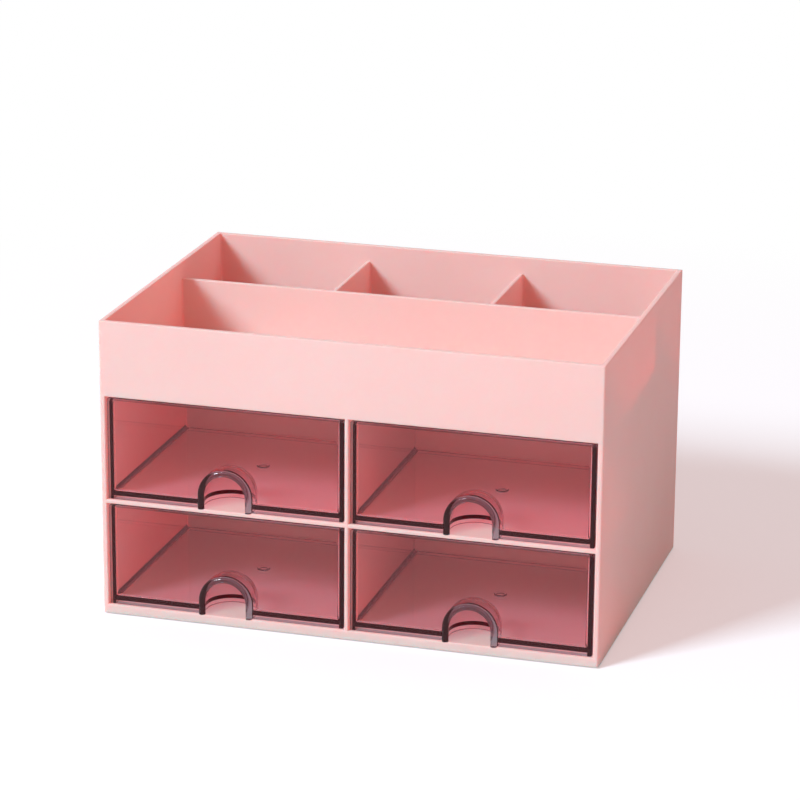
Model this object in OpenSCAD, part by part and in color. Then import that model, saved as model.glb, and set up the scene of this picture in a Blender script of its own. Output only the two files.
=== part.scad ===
// Desktop drawer organizer: one moulded cabinet with a tray and deep wells on top,
// and a drawer with a moulded finger pocket in each of its four bays.
// Millimetres, +Z up, front towards -Y. The feet stand on z = 0.

/* [Cabinet] */
// Width of the cabinet, left to right
body_w = 260; // [220:5:340]
// Thickness of the outer walls
wall_t = 2.8; // [2:0.2:4]
// Thickness of the upright between the drawer columns
centre_t = 2.0; // [1.6:0.1:4]
// Thickness of the plate under the lower drawers
base_t = 2.6; // [2:0.1:4]
// Thickness of the shelf between the drawer rows
shelf_t = 2.1; // [1.6:0.1:4]
// Thickness of the deck that carries the tray
deck_t = 2.6; // [2:0.1:4]
// Height of the skirt around the underside
skirt_h = 2.0; // [1:0.1:3]
// Radius of the upright outer corners
corner_r = 1.0; // [0.8:0.1:2.5]
// Rounding of the top edges of the walls
rim_r = 0.6; // [0.3:0.1:0.8]
// Bevel round the mouth of each drawer bay
mouth_bevel = 0.4; // [0.2:0.1:0.8]

/* [Drawer bays] */
// Clear height of one bay
bay_h = 54.7; // [45:0.1:80]
// Clear depth of the bays, up to the partition
bay_depth = 116.5; // [90:0.5:160]

/* [Top compartments] */
// Depth of the front tray below the rim
tray_h = 36.9; // [30:0.1:60]
// How far the partition and the dividers stay below the rim
partition_drop = 8.8; // [2:0.1:20]
// Thickness of the partition between bays and wells
partition_t = 2.5; // [2:0.1:4]
// Front-to-back room of the rear wells
well_room = 61.2; // [40:0.1:90]
// Number of rear wells
well_count = 3; // [2:1:5]
// Thickness of the dividers between the wells
divider_t = 2.2; // [1.8:0.1:4]
// Radius of the corners and floor edges inside the tray and the wells
room_r = 1.2; // [1:0.1:3]

/* [Drawers] */
// Thickness of the drawer front
front_t = 2.2; // [1.8:0.1:3]
// Thickness of the drawer's side and rear walls
drawer_wall_t = 1.6; // [1.4:0.1:2.4]
// Thickness of the drawer's floor
floor_t = 2.1; // [1.4:0.1:3]
// Height of the floor's underside above the runners' lower edges
runner_h = 1.8; // [1:0.1:4]
// How far the front reaches past each side wall
front_overhang = 1.1; // [0.5:0.1:4]
// How far the side walls stay below the front's top edge
wall_drop = 1.6; // [0.5:0.1:6]
// Radius of the drawer's rear corners
drawer_corner_r = 3.0; // [2.8:0.1:6]
// Fillet between the drawer's floor and its walls
floor_fillet = 2.0; // [1:0.1:4]
// Rounding of the front's outer edges
front_edge_r = 1.1; // [0.4:0.1:1.4]
// Radius of the gate boss on the floor
gate_r = 3.4; // [2:0.1:6]
// Height of the gate boss
gate_h = 0.7; // [0.4:0.1:1.2]
// How far the gate boss sits behind the drawer's middle
gate_back = 5; // [0:0.5:15]

/* [Finger pocket] */
// Inner radius of the pocket
pocket_r = 12.5; // [9:0.1:16]
// Height of the arch's centre above the drawer's lower edge
arch_z = 7.1; // [5:0.1:14]
// Straight depth of the pocket before its round end
pocket_run = 8.2; // [5:0.1:16]
// Wall thickness of the pocket
pocket_t = 1.8; // [1.2:0.1:2.6]
// Thickness of the round bead along the mouth of the pocket
bead_d = 3.4; // [2.8:0.1:4.2]

/* [Feet] */
// Radius of a foot pad
foot_r = 5.5; // [4:0.1:10]
// How far the pads stand out below the skirt
foot_proud = 0.8; // [0.5:0.1:2]
// Distance of the pads' centres from the cabinet's outside
foot_inset = 16; // [10:0.5:30]
// Rounding of a pad's lower edge
foot_edge_r = 0.5; // [0.2:0.1:1]

/* [Clearances] */
// Gap at each side of a drawer front
side_gap = 0.6; // [0.3:0.1:1.2]
// Gap above a drawer front
top_gap = 0.8; // [0.4:0.1:1.5]
// Gap below the runners
runner_gap = 0.2; // [0.1:0.05:0.5]
// Gap behind a closed drawer
rear_gap = 1.0; // [0.5:0.1:4]
// How far a closed drawer front sits behind the cabinet's front
setback = 0.4; // [0:0.1:1.2]

/* [Hidden] */
$fn = 64;
eps = 1;                                     // how far a cutter runs past the face it opens
pink = "#f3b0aa";
smoke = [0.55, 0.42, 0.46, 0.55];

body_d = bay_depth + partition_t + well_room + wall_t;
body_h = skirt_h + base_t + 2 * bay_h + shelf_t + deck_t + tray_h;
room_w = body_w - 2 * wall_t;                // clear width between the outer walls
bay_w = (room_w - centre_t) / 2;
bead_out = bead_d / 2 - setback;             // how far the pockets' beads pass the cabinet's front
front_y = bead_out - (body_d + bead_out) / 2;
partition_y = front_y + bay_depth;
well_y = partition_y + partition_t;

skirt_z = foot_proud;                        // lower edge of the cabinet
plate_z = skirt_z + skirt_h;                 // underside of the base plate, which the feet hold
lower_z = plate_z + base_t;                  // floor of the lower bays
upper_z = lower_z + bay_h + shelf_t;         // floor of the upper bays
tray_z = upper_z + bay_h + deck_t;           // floor of the tray
rim_z = skirt_z + body_h;
partition_z = rim_z - partition_drop;

drawer_w = bay_w - 2 * side_gap;
drawer_h = bay_h - runner_gap - top_gap;
drawer_d = bay_depth - rear_gap - setback;   // front face to rear face
box_w = drawer_w - 2 * front_overhang;
wall_top = drawer_h - wall_drop;
wall_edge_r = drawer_wall_t / 4;
gate_y = drawer_d / 2 + gate_back;
bay_x = (bay_w + centre_t) / 2;              // middle of the right column

// Rectangle w by h, centred on x and standing on y = 0, with lower and upper corner radii
module rounded_plate(w, h, r_low, r_high) {
    difference() {
        translate([-w / 2, 0])
            square([w, h]);
        for (s = [-1, 1]) {
            if (r_low > 0)
                corner_off(s * w / 2, 0, r_low, -s, 1);
            if (r_high > 0)
                corner_off(s * w / 2, h, r_high, -s, -1);
        }
    }
}

// What a corner at [x, y] loses to a rounding of radius r; sx and sy point to the inside
module corner_off(x, y, r, sx, sy) {
    difference() {
        translate([x + (sx > 0 ? -eps : -r), y + (sy > 0 ? -eps : -r)])
            square(r + eps);
        translate([x + sx * r, y + sy * r])
            circle(r);
    }
}

// Block w by d by h, centred on x and y, with rounded upright, lower and top edges
module soft_block(w, d, h, r_up, r_low, r_top) {
    intersection() {
        linear_extrude(h)
            translate([0, -d / 2])
                rounded_plate(w, d, r_up, r_up);
        translate([0, d / 2 + eps, 0])
            rotate([90, 0, 0])
                linear_extrude(d + 2 * eps)
                    rounded_plate(w, h, r_low, r_top);
        translate([-w / 2 - eps, 0, 0])
            rotate([90, 0, 90])
                linear_extrude(w + 2 * eps)
                    rounded_plate(d, h, r_low, r_top);
    }
}

// Upright wall t thick and h high along x from 0 to run, its top edges rounded
module wall_along_x(run, t, h, r) {
    rotate([90, 0, 90])
        linear_extrude(run)
            translate([t / 2, 0])
                rounded_plate(t, h, 0, r);
}

module wall_along_y(run, t, h, r) {
    translate([t, 0, 0])
        rotate([0, 0, 90])
            wall_along_x(run, t, h, r);
}

module cabinet_outside() {
    translate([0, front_y + body_d / 2, skirt_z])
        soft_block(body_w, body_d, body_h, corner_r, 0, rim_r);
}

// Room w by d by h with rounded corners and floor edges, its near left corner at [x, y, z]
module room(x, y, z, w, d, h) {
    translate([x + w / 2, y + d / 2, z])
        soft_block(w, d, h, room_r, room_r, 0);
}

// The tray, the wells and the room over the partition, open at the top
module cabinet_rooms() {
    tray_d = bay_depth - wall_t;
    well_w = (room_w + divider_t) / well_count - divider_t;
    room(-room_w / 2, front_y + wall_t, tray_z, room_w, tray_d, body_h);
    for (k = [0:well_count - 1])
        room(-room_w / 2 + k * (well_w + divider_t), well_y, lower_z, well_w, well_room, body_h);
    over_z = partition_z - 2 * rim_r;
    translate([0, front_y + body_d / 2, over_z])
        linear_extrude(body_h)
            translate([0, wall_t - body_d / 2])
                rounded_plate(room_w, body_d - 2 * wall_t, room_r, room_r);
}

// What the inner edges of the rim lose to their rounding
module rim_inside() {
    in_x = room_w / 2;
    in_y = body_d / 2 - wall_t;
    translate([0, front_y + body_d / 2, 0])
        for (s = [-1, 1]) {
            translate([room_r - in_x, s * in_y, 0])
                rotate([90, 0, 90])
                    linear_extrude(room_w - 2 * room_r)
                        corner_off(0, rim_z, rim_r, s, -1);
            translate([s * in_x, in_y - room_r, 0])
                rotate([90, 0, 0])
                    linear_extrude(2 * (in_y - room_r))
                        corner_off(0, rim_z, rim_r, s, -1);
            for (t = [-1, 1])
                translate([s * (in_x - room_r), t * (in_y - room_r), 0])
                    rotate([0, 0, s > 0 ? (t > 0 ? 0 : 270) : (t > 0 ? 90 : 180)])
                        rotate_extrude(angle = 90)
                            corner_off(room_r, rim_z, rim_r, 1, -1);
        }
}

// Four bays, opened from the front, with a bevelled mouth
module bays() {
    for (s = [-1, 1], z = [lower_z, upper_z])
        translate([s * bay_x, front_y, z]) {
            translate([-bay_w / 2, -eps, 0])
                cube([bay_w, bay_depth + eps, bay_h]);
            mouth(bay_w, bay_h, mouth_bevel);
        }
}

// Bevel round a w by h mouth in the plane y = 0, standing on z = 0
module mouth(w, h, c) {
    hull()
        for (k = [0, 1])
            translate([-w / 2 - (1 - k) * 2 * c, (k - 0.5) * 2 * c, -(1 - k) * 2 * c])
                cube([w + (1 - k) * 4 * c, 0.001, h + (1 - k) * 4 * c]);
}

module underside() {
    translate([0, front_y + body_d / 2, skirt_z - eps])
        linear_extrude(skirt_h + eps)
            translate([0, wall_t - body_d / 2])
                rounded_plate(room_w, body_d - 2 * wall_t, corner_r, corner_r);
}

module partition() {
    translate([-room_w / 2 - wall_t / 2, partition_y, lower_z - base_t / 2])
        wall_along_x(room_w + wall_t, partition_t, partition_z - lower_z + base_t / 2, rim_r);
}

module well_dividers() {
    pitch = (room_w + divider_t) / well_count;
    for (k = [1:well_count - 1])
        translate([-room_w / 2 + k * pitch - divider_t, well_y - partition_t / 2, lower_z - base_t / 2])
            wall_along_y(well_room + partition_t / 2 + wall_t / 2, divider_t,
                         partition_z - lower_z + base_t / 2, rim_r);
}

module cabinet() {
    color(pink) {
        difference() {
            cabinet_outside();
            cabinet_rooms();
            rim_inside();
            bays();
            underside();
        }
        partition();
        well_dividers();
    }
}

// Stilted arch in the x-z plane: legs from y = 0 up to z, then a half circle
module arch(r, z) {
    translate([-r, 0])
        square([2 * r, z]);
    intersection() {
        translate([0, z])
            circle(r);
        translate([-r, z])
            square([2 * r, r]);
    }
}

// Solid in the shape of the finger pocket: an arched run, then a half-round end under a quarter sphere
module pocket_form(r, run_from, z_low) {
    z = arch_z - z_low;
    translate([0, pocket_run, z_low]) {
        rotate([90, 0, 0])
            linear_extrude(pocket_run - run_from)
                arch(r, z);
        rotate_extrude(angle = 180)
            intersection() {
                arch(r, z);
                square([r, z + r]);
            }
    }
}

// Round bead along the mouth of the pocket, its middle on the front edge of the pocket's inner face
module bead() {
    translate([0, 0, arch_z])
        rotate([90, 0, 0])
            rotate_extrude(angle = 180)
                translate([pocket_r, 0])
                    circle(d = bead_d);
    for (s = [-1, 1])
        translate([s * pocket_r, 0, 0])
            cylinder(h = arch_z, d = bead_d);
}

// U-shaped side and rear walls with rounded top edges and rounded rear corners
module drawer_walls() {
    r_mid = drawer_corner_r - drawer_wall_t / 2;
    side_x = box_w / 2 - drawer_wall_t / 2;
    run_y = drawer_d - drawer_corner_r;
    for (s = [-1, 1]) {
        translate([s * side_x - drawer_wall_t / 2, front_t / 2, 0])
            wall_along_y(run_y - front_t / 2, drawer_wall_t, wall_top, wall_edge_r);
        translate([s * (side_x - r_mid), run_y, 0])
            rotate([0, 0, s > 0 ? 0 : 90])
                rotate_extrude(angle = 90)
                    translate([r_mid, 0])
                        rounded_plate(drawer_wall_t, wall_top, 0, wall_edge_r);
    }
    translate([-(side_x - r_mid), drawer_d - drawer_wall_t, 0])
        wall_along_x(2 * (side_x - r_mid), drawer_wall_t, wall_top, wall_edge_r);
}

// Floor and the fillets that rise from it and from the front into the walls
module drawer_floor() {
    into_wall = drawer_wall_t / 2;
    difference() {
        translate([0, front_t / 2, runner_h])
            linear_extrude(wall_top - wall_edge_r - runner_h)
                rounded_plate(box_w - 2 * into_wall, drawer_d - into_wall - front_t / 2, 0,
                              drawer_corner_r - into_wall);
        drawer_room();
    }
}

// The room inside one drawer
module drawer_room() {
    room_d = drawer_d - front_t - drawer_wall_t;
    translate([0, front_t + room_d / 2, runner_h + floor_t])
        soft_block(box_w - 2 * drawer_wall_t, room_d, drawer_h, drawer_corner_r - drawer_wall_t, floor_fillet, 0);
}

module drawer_front() {
    translate([0, front_t, drawer_h / 2])
        rotate([90, 0, 0])
            soft_block(drawer_w, drawer_h, front_t, front_edge_r, 0, front_edge_r);
}

// Round boss over the gate on the floor
module gate_boss() {
    translate([0, gate_y, runner_h + floor_t / 2])
        rotate_extrude()
            intersection() {
                rounded_plate(2 * gate_r, floor_t / 2 + gate_h, 0, gate_h / 2);
                square([gate_r, floor_t + gate_h]);
            }
}

module gate_dimple() {
    translate([0, gate_y, runner_h - eps])
        cylinder(h = gate_h + eps, r = gate_r - floor_t / 2);
}

// One drawer: front face on y = 0, runners on z = 0
module drawer() {
    color(smoke) {
        difference() {
            union() {
                drawer_front();
                drawer_walls();
                drawer_floor();
                gate_boss();
                pocket_form(pocket_r + pocket_t, front_t / 2, 0);
            }
            pocket_form(pocket_r, -eps, -eps);
            gate_dimple();
        }
        bead();
    }
}

// A drawer in column side (-1 left, 1 right) on the bay floor at z
module drawer_at(side, z) {
    translate([side * bay_x, front_y + setback, z + runner_gap])
        drawer();
}

module drawer_upper_left() { drawer_at(-1, upper_z); }
module drawer_upper_right() { drawer_at(1, upper_z); }
module drawer_lower_left() { drawer_at(-1, lower_z); }
module drawer_lower_right() { drawer_at(1, lower_z); }

// Foot pad under the base plate; side and end are -1 or 1
module foot_at(side, end) {
    x = side * (body_w / 2 - foot_inset);
    y = front_y + body_d / 2 + end * (body_d / 2 - foot_inset);
    color("#d8d4d2")
        translate([x, y, 0])
            rotate_extrude()
                intersection() {
                    rounded_plate(2 * foot_r, plate_z, foot_edge_r, 0);
                    square([foot_r, plate_z]);
                }
}

module foot_front_left() { foot_at(-1, -1); }
module foot_front_right() { foot_at(1, -1); }
module foot_rear_left() { foot_at(-1, 1); }
module foot_rear_right() { foot_at(1, 1); }

cabinet();
drawer_upper_left();
drawer_upper_right();
drawer_lower_left();
drawer_lower_right();
foot_front_left();
foot_front_right();
foot_rear_left();
foot_rear_right();
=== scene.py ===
"""Desktop drawer organizer: pink moulded cabinet with a tray and pen wells, four smoke-tinted clear drawers.

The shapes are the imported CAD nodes. This script gives them their finish, the light and the camera.
Lengths are metres, in the frame of the CAD: +X right, +Y back, +Z up, the feet on z = 0.
"""

import math

import bpy
from mathutils import Matrix, Vector

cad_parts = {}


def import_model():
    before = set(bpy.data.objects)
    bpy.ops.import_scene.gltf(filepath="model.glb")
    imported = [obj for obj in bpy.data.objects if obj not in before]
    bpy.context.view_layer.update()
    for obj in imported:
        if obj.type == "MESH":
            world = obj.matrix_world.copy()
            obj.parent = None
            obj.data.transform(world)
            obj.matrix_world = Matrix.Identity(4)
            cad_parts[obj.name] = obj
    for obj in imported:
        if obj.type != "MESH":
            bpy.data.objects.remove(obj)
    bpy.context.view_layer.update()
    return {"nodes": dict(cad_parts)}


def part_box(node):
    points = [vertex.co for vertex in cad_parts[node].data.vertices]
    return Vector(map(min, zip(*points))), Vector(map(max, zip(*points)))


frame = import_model()

CABINET = "cabinet"
DRAWERS = ("drawer_upper_left", "drawer_upper_right", "drawer_lower_left", "drawer_lower_right")
FEET = ("foot_front_left", "foot_front_right", "foot_rear_left", "foot_rear_right")

# A drawer's box, and places measured from its middle: the front plate's back and the arch's centre
DRAWER_MM = (125.0, 116.8, 53.7)
PLATE_BACK_MM = -54.7
ARCH_Z_MM = -19.75
ARCH_RADIUS_MM = 12.5
# How wide the painted shade (a darker colour on the front plate) is: each side of the arch's line, at the
# plate's sides and foot, and at its top
BEAD_SHADE_MM = 1.6
RIM_SHADE_MM = 1.6
TOP_SHADE_MM = 0.9
# Over what width it fades out at those places
BEAD_SHADE_FADE_MM = 0.4
RIM_SHADE_FADE_MM = 0.3
TOP_SHADE_FADE_MM = 0.2

# Camera: a plain lens aimed at a point on the cabinet's front plane
PHOTO_PX = 800
FOCAL_PX = 3407.0
SENSOR_MM = 36.0
VIEW_AZIMUTH = math.radians(16.0)
VIEW_ELEVATION = math.radians(17.61)
VIEW_ROLL = math.radians(0.406)
VIEW_DISTANCE = 1.6692
AIM_X = 0.02737
AIM_ABOVE_FEET = 0.12975

# Light: a cool key in a warm room, fitted together to the photograph's tones
AMBIENT = 0.38
AMBIENT_COLOUR = (1.4, 1.0, 1.0, 1.0)
# Name, place seen from the object (degrees round from the front, degrees up), distance, size, watts, colour
LAMPS = (
    ("key", (-38.0, 34.0), 6.0, 1.6, 334.0, (0.765, 1.0, 1.14)),
)
LAMP_AIM = (0.0, 0.0, 0.08)
# The background's strength for a ray that shows it
SEEN_WHITE = 1.0
# Floor: its size, its paint, how much it is lifted where it is seen, and where it turns plain white
FLOOR_SIZE = 14.0
FLOOR_PAINT = (0.8, 0.8, 0.8, 1.0)
FLOOR_LIFT = 0.3
FLOOR_NEAR = 0.28
FLOOR_FAR = 0.75


class Shader:
    """A node tree, with short calls to add and join nodes."""

    def __init__(self, tree):
        self.tree = tree
        tree.nodes.clear()

    def add(self, kind, **properties):
        node = self.tree.nodes.new(kind)
        for name, value in properties.items():
            setattr(node, name, value)
        return node

    def join(self, source, target):
        self.tree.links.new(source, target)

    def noise(self, scale, detail=2.0):
        """Noise in object space, so that it keeps its size on every piece."""
        place = self.add("ShaderNodeTexCoord")
        node = self.add("ShaderNodeTexNoise")
        self.join(place.outputs["Object"], node.inputs["Vector"])
        node.inputs["Scale"].default_value = scale
        node.inputs["Detail"].default_value = detail
        return node.outputs["Fac"]

    def spread(self, source, low, high, start=0.3, end=0.7):
        """The source's values from start to end, spread between low and high."""
        node = self.add("ShaderNodeMapRange")
        self.join(source, node.inputs["Value"])
        node.inputs["From Min"].default_value = start
        node.inputs["From Max"].default_value = end
        node.inputs["To Min"].default_value = low
        node.inputs["To Max"].default_value = high
        return node.outputs["Result"]

    def blend(self, factor, first, second):
        """A colour between first and second."""
        node = self.add("ShaderNodeMix", data_type="RGBA")
        self.join(factor, node.inputs["Factor"])
        node.inputs["A"].default_value = first
        node.inputs["B"].default_value = second
        return node.outputs["Result"]

    def bump(self, height, strength, distance):
        node = self.add("ShaderNodeBump")
        self.join(height, node.inputs["Height"])
        node.inputs["Strength"].default_value = strength
        node.inputs["Distance"].default_value = distance
        return node.outputs["Normal"]

    def principled(self, **values):
        """A Principled shader. Values are by socket name, with underscores for spaces."""
        node = self.add("ShaderNodeBsdfPrincipled")
        for name, value in values.items():
            node.inputs[name.replace("_", " ")].default_value = value
        return node

    def maths(self, operation, first, second):
        node = self.add("ShaderNodeMath", operation=operation)
        for socket, value in zip(node.inputs, (first, second)):
            if isinstance(value, bpy.types.NodeSocket):
                self.join(value, socket)
            else:
                socket.default_value = value
        return node.outputs["Value"]


def new_material(name):
    material = bpy.data.materials.new(name)
    material.use_nodes = True
    return material, Shader(material.node_tree)


def pink_plastic():
    """Satin pink moulding: faint clouds from the melt, a fine skin, and a glow through thin walls."""
    material, shader = new_material("pink_plastic")
    clouds = shader.spread(shader.noise(14.0, 3.0), 0.0, 1.0)
    tone = shader.blend(clouds, (0.974, 0.56, 0.505, 1.0), (0.98, 0.585, 0.53, 1.0))
    surface = shader.principled(
        IOR=1.5,
        Specular_IOR_Level=0.15,
        Subsurface_Weight=0.8,
        Subsurface_Radius=(1.0, 0.056, 0.047),
        Subsurface_Scale=0.012,
    )
    shader.join(tone, surface.inputs["Base Color"])
    shader.join(shader.spread(shader.noise(60.0, 4.0), 0.5, 0.6), surface.inputs["Roughness"])
    shader.join(shader.bump(shader.noise(2600.0, 2.0), 0.1, 0.0002), surface.inputs["Normal"])
    output = shader.add("ShaderNodeOutputMaterial")
    shader.join(surface.outputs["BSDF"], output.inputs["Surface"])
    return material


def painted_edge_shade(shader):
    """Mask of the painted shade: 1 on a drawer's arch bead, on the rounded rim of its front plate and on a
    band along its top edge, else 0. Works in millimetres.
    """
    place = shader.add("ShaderNodeTexCoord")
    spot = shader.add("ShaderNodeVectorMath", operation="MULTIPLY_ADD")
    shader.join(place.outputs["Generated"], spot.inputs[0])
    spot.inputs[1].default_value = DRAWER_MM
    spot.inputs[2].default_value = [-size / 2 for size in DRAWER_MM]
    split = shader.add("ShaderNodeSeparateXYZ")
    shader.join(spot.outputs["Vector"], split.inputs["Vector"])
    height = split.outputs["Z"]
    half_width = DRAWER_MM[0] / 2
    half_height = DRAWER_MM[2] / 2
    side = shader.maths("ABSOLUTE", split.outputs["X"], 0.0)
    rise = shader.maths("MAXIMUM", shader.maths("SUBTRACT", height, ARCH_Z_MM), 0.0)
    squares = shader.maths("ADD", shader.maths("POWER", side, 2.0), shader.maths("POWER", rise, 2.0))
    off_arch = shader.maths("SUBTRACT", shader.maths("SQRT", squares, 0.0), ARCH_RADIUS_MM)
    from_line = shader.maths("ABSOLUTE", off_arch, 0.0)
    bead = shader.spread(from_line, 1.0, 0.0, BEAD_SHADE_MM, BEAD_SHADE_MM + BEAD_SHADE_FADE_MM)
    sides = shader.spread(side, 0.0, 1.0, half_width - RIM_SHADE_MM, half_width - RIM_SHADE_MM + RIM_SHADE_FADE_MM)
    foot = shader.spread(height, 1.0, 0.0, RIM_SHADE_MM - half_height, RIM_SHADE_MM + RIM_SHADE_FADE_MM - half_height)
    top = shader.spread(height, 0.0, 1.0, half_height - TOP_SHADE_MM - TOP_SHADE_FADE_MM, half_height - TOP_SHADE_MM)
    bead_or_top = shader.maths("MAXIMUM", bead, top)
    sides_or_foot = shader.maths("MAXIMUM", sides, foot)
    shaded_edges = shader.maths("MAXIMUM", bead_or_top, sides_or_foot)
    front = shader.spread(split.outputs["Y"], 1.0, 0.0, PLATE_BACK_MM, PLATE_BACK_MM + RIM_SHADE_FADE_MM)
    return shader.maths("MULTIPLY", shaded_edges, front)


def smoke_plastic():
    """Clear polystyrene with a mauve tint and polished faces, with painted shade as a darker colour on the
    front plate's rounded rim, arch bead and top edge.

    The trace of rose emission stands for light that runs on inside the walls after a path's last bounce.
    A shadow ray sees a tinted clear sheet, so the pieces behind the drawers are lit without caustics.
    """
    material, shader = new_material("smoke_plastic")
    surface = shader.principled(
        Transmission_Weight=1.0,
        IOR=1.47,
        Specular_Tint=(0.6, 0.6, 0.6, 1.0),
        Emission_Color=(1.0, 0.05, 0.12, 1.0),
        Emission_Strength=0.008,
    )
    # Painted shade: a darker colour on the front plate's rounded rim, arch bead and top edge, where the
    # clear edges and the gap under the cabinet look dark
    tone = shader.blend(painted_edge_shade(shader), (1.0, 1.0, 1.0, 1.0), (0.4, 0.58, 0.63, 1.0))
    shader.join(tone, surface.inputs["Base Color"])
    shader.join(shader.spread(shader.noise(40.0, 3.0), 0.01, 0.03), surface.inputs["Roughness"])
    shader.join(shader.bump(shader.noise(25.0, 1.0), 0.03, 0.0004), surface.inputs["Normal"])
    clear = shader.add("ShaderNodeBsdfTransparent")
    clear.inputs["Color"].default_value = (0.955, 0.912, 0.94, 1.0)
    path = shader.add("ShaderNodeLightPath")
    mix = shader.add("ShaderNodeMixShader")
    shader.join(path.outputs["Is Shadow Ray"], mix.inputs["Fac"])
    shader.join(surface.outputs["BSDF"], mix.inputs[1])
    shader.join(clear.outputs["BSDF"], mix.inputs[2])
    tint = shader.add("ShaderNodeVolumeAbsorption")
    tint.inputs["Color"].default_value = (0.8, 0.1, 0.26, 1.0)
    tint.inputs["Density"].default_value = 88.0
    output = shader.add("ShaderNodeOutputMaterial")
    shader.join(mix.outputs["Shader"], output.inputs["Surface"])
    shader.join(tint.outputs["Volume"], output.inputs["Volume"])
    return material


def pad_rubber():
    """Soft grey pad, matte with a light bloom."""
    material, shader = new_material("pad_rubber")
    surface = shader.principled(IOR=1.5)
    bloom = shader.spread(shader.noise(400.0, 3.0), 0.0, 1.0)
    tone = shader.blend(bloom, (0.55, 0.51, 0.5, 1.0), (0.66, 0.63, 0.61, 1.0))
    shader.join(tone, surface.inputs["Base Color"])
    shader.join(shader.spread(shader.noise(900.0, 2.0), 0.6, 0.8), surface.inputs["Roughness"])
    shader.join(shader.bump(shader.noise(3000.0, 2.0), 0.3, 0.0001), surface.inputs["Normal"])
    output = shader.add("ShaderNodeOutputMaterial")
    shader.join(surface.outputs["BSDF"], output.inputs["Surface"])
    return material


def dress(names, material):
    for name in names:
        node = frame["nodes"][name]
        node.data.materials.clear()
        node.data.materials.append(material)


def let_soft_light_through(names):
    """Light that the cabinet scatters passes these clear pieces unbent, so it can fill the bays."""
    for name in names:
        frame["nodes"][name].visible_diffuse = False


def shows_background(shader):
    """1 for a ray that shows the background: from the camera, in a gloss or through glass. Else 0."""
    path = shader.add("ShaderNodeLightPath")
    seen = shader.maths("MAXIMUM", path.outputs["Is Camera Ray"], path.outputs["Is Glossy Ray"])
    return shader.maths("MAXIMUM", seen, path.outputs["Is Transmission Ray"])


def floor():
    """Pale floor. It takes the object's shadow nearby and is plain white for the viewer farther out."""
    bpy.ops.mesh.primitive_plane_add(size=FLOOR_SIZE)
    plane = bpy.context.object
    plane.name = "floor"
    material, shader = new_material("floor")
    paint = shader.add("ShaderNodeBsdfDiffuse")
    paint.inputs["Color"].default_value = FLOOR_PAINT
    seen = shows_background(shader)
    lift = shader.add("ShaderNodeEmission")
    shader.join(shader.maths("MULTIPLY", seen, FLOOR_LIFT), lift.inputs["Strength"])
    both = shader.add("ShaderNodeAddShader")
    shader.join(paint.outputs["BSDF"], both.inputs[0])
    shader.join(lift.outputs["Emission"], both.inputs[1])
    place = shader.add("ShaderNodeTexCoord")
    far = shader.add("ShaderNodeVectorMath", operation="LENGTH")
    shader.join(place.outputs["Object"], far.inputs[0])
    fade = shader.spread(far.outputs["Value"], 0.0, 1.0, FLOOR_NEAR, FLOOR_FAR)
    white = shader.add("ShaderNodeEmission")
    white.inputs["Strength"].default_value = SEEN_WHITE
    mix = shader.add("ShaderNodeMixShader")
    shader.join(shader.maths("MULTIPLY", fade, seen), mix.inputs["Fac"])
    shader.join(both.outputs["Shader"], mix.inputs[1])
    shader.join(white.outputs["Emission"], mix.inputs[2])
    output = shader.add("ShaderNodeOutputMaterial")
    shader.join(mix.outputs["Shader"], output.inputs["Surface"])
    plane.data.materials.append(material)


def world():
    """Soft light from all round, seen as white."""
    sky = bpy.data.worlds.new("studio")
    bpy.context.scene.world = sky
    sky.use_nodes = True
    shader = Shader(sky.node_tree)
    background = shader.add("ShaderNodeBackground")
    seen = shows_background(shader)
    lift = shader.maths("MULTIPLY", seen, SEEN_WHITE - AMBIENT)
    shader.join(shader.maths("ADD", lift, AMBIENT), background.inputs["Strength"])
    shader.join(shader.blend(seen, AMBIENT_COLOUR, (1.0, 1.0, 1.0, 1.0)), background.inputs["Color"])
    output = shader.add("ShaderNodeOutputWorld")
    shader.join(background.outputs["Background"], output.inputs["Surface"])


def lamp(name, toward, distance, size, watts, colour):
    """A square area lamp, aimed at the middle of the object."""
    data = bpy.data.lights.new(name, "AREA")
    data.shape = "SQUARE"
    data.size = size
    data.energy = watts
    data.color = colour
    item = bpy.data.objects.new(name, data)
    bpy.context.scene.collection.objects.link(item)
    round_, up = (math.radians(angle) for angle in toward)
    way = Vector((math.sin(round_) * math.cos(up), -math.cos(round_) * math.cos(up), math.sin(up)))
    item.location = Vector(LAMP_AIM) + way * distance
    item.rotation_euler = way.to_track_quat("Z", "Y").to_euler()


def camera():
    """The photograph's viewing angle, roll and framing."""
    low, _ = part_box(CABINET)
    flat = math.cos(VIEW_ELEVATION)
    back = Vector((math.sin(VIEW_AZIMUTH) * flat, -math.cos(VIEW_AZIMUTH) * flat, math.sin(VIEW_ELEVATION)))
    data = bpy.data.cameras.new("camera")
    data.sensor_width = SENSOR_MM
    data.lens = FOCAL_PX / PHOTO_PX * SENSOR_MM
    eye = bpy.data.objects.new("camera", data)
    bpy.context.scene.collection.objects.link(eye)
    eye.location = Vector((AIM_X, low.y, AIM_ABOVE_FEET)) + back * VIEW_DISTANCE
    turn = back.to_track_quat("Z", "Y").to_matrix()
    eye.rotation_euler = (turn @ Matrix.Rotation(VIEW_ROLL, 3, "Z")).to_euler()
    bpy.context.scene.camera = eye


camera()
dress([CABINET], pink_plastic())
dress(DRAWERS, smoke_plastic())
let_soft_light_through(DRAWERS)
dress(FEET, pad_rubber())
floor()
world()
for settings in LAMPS:
    lamp(*settings)
bpy.context.scene.view_settings.view_transform = "Standard"
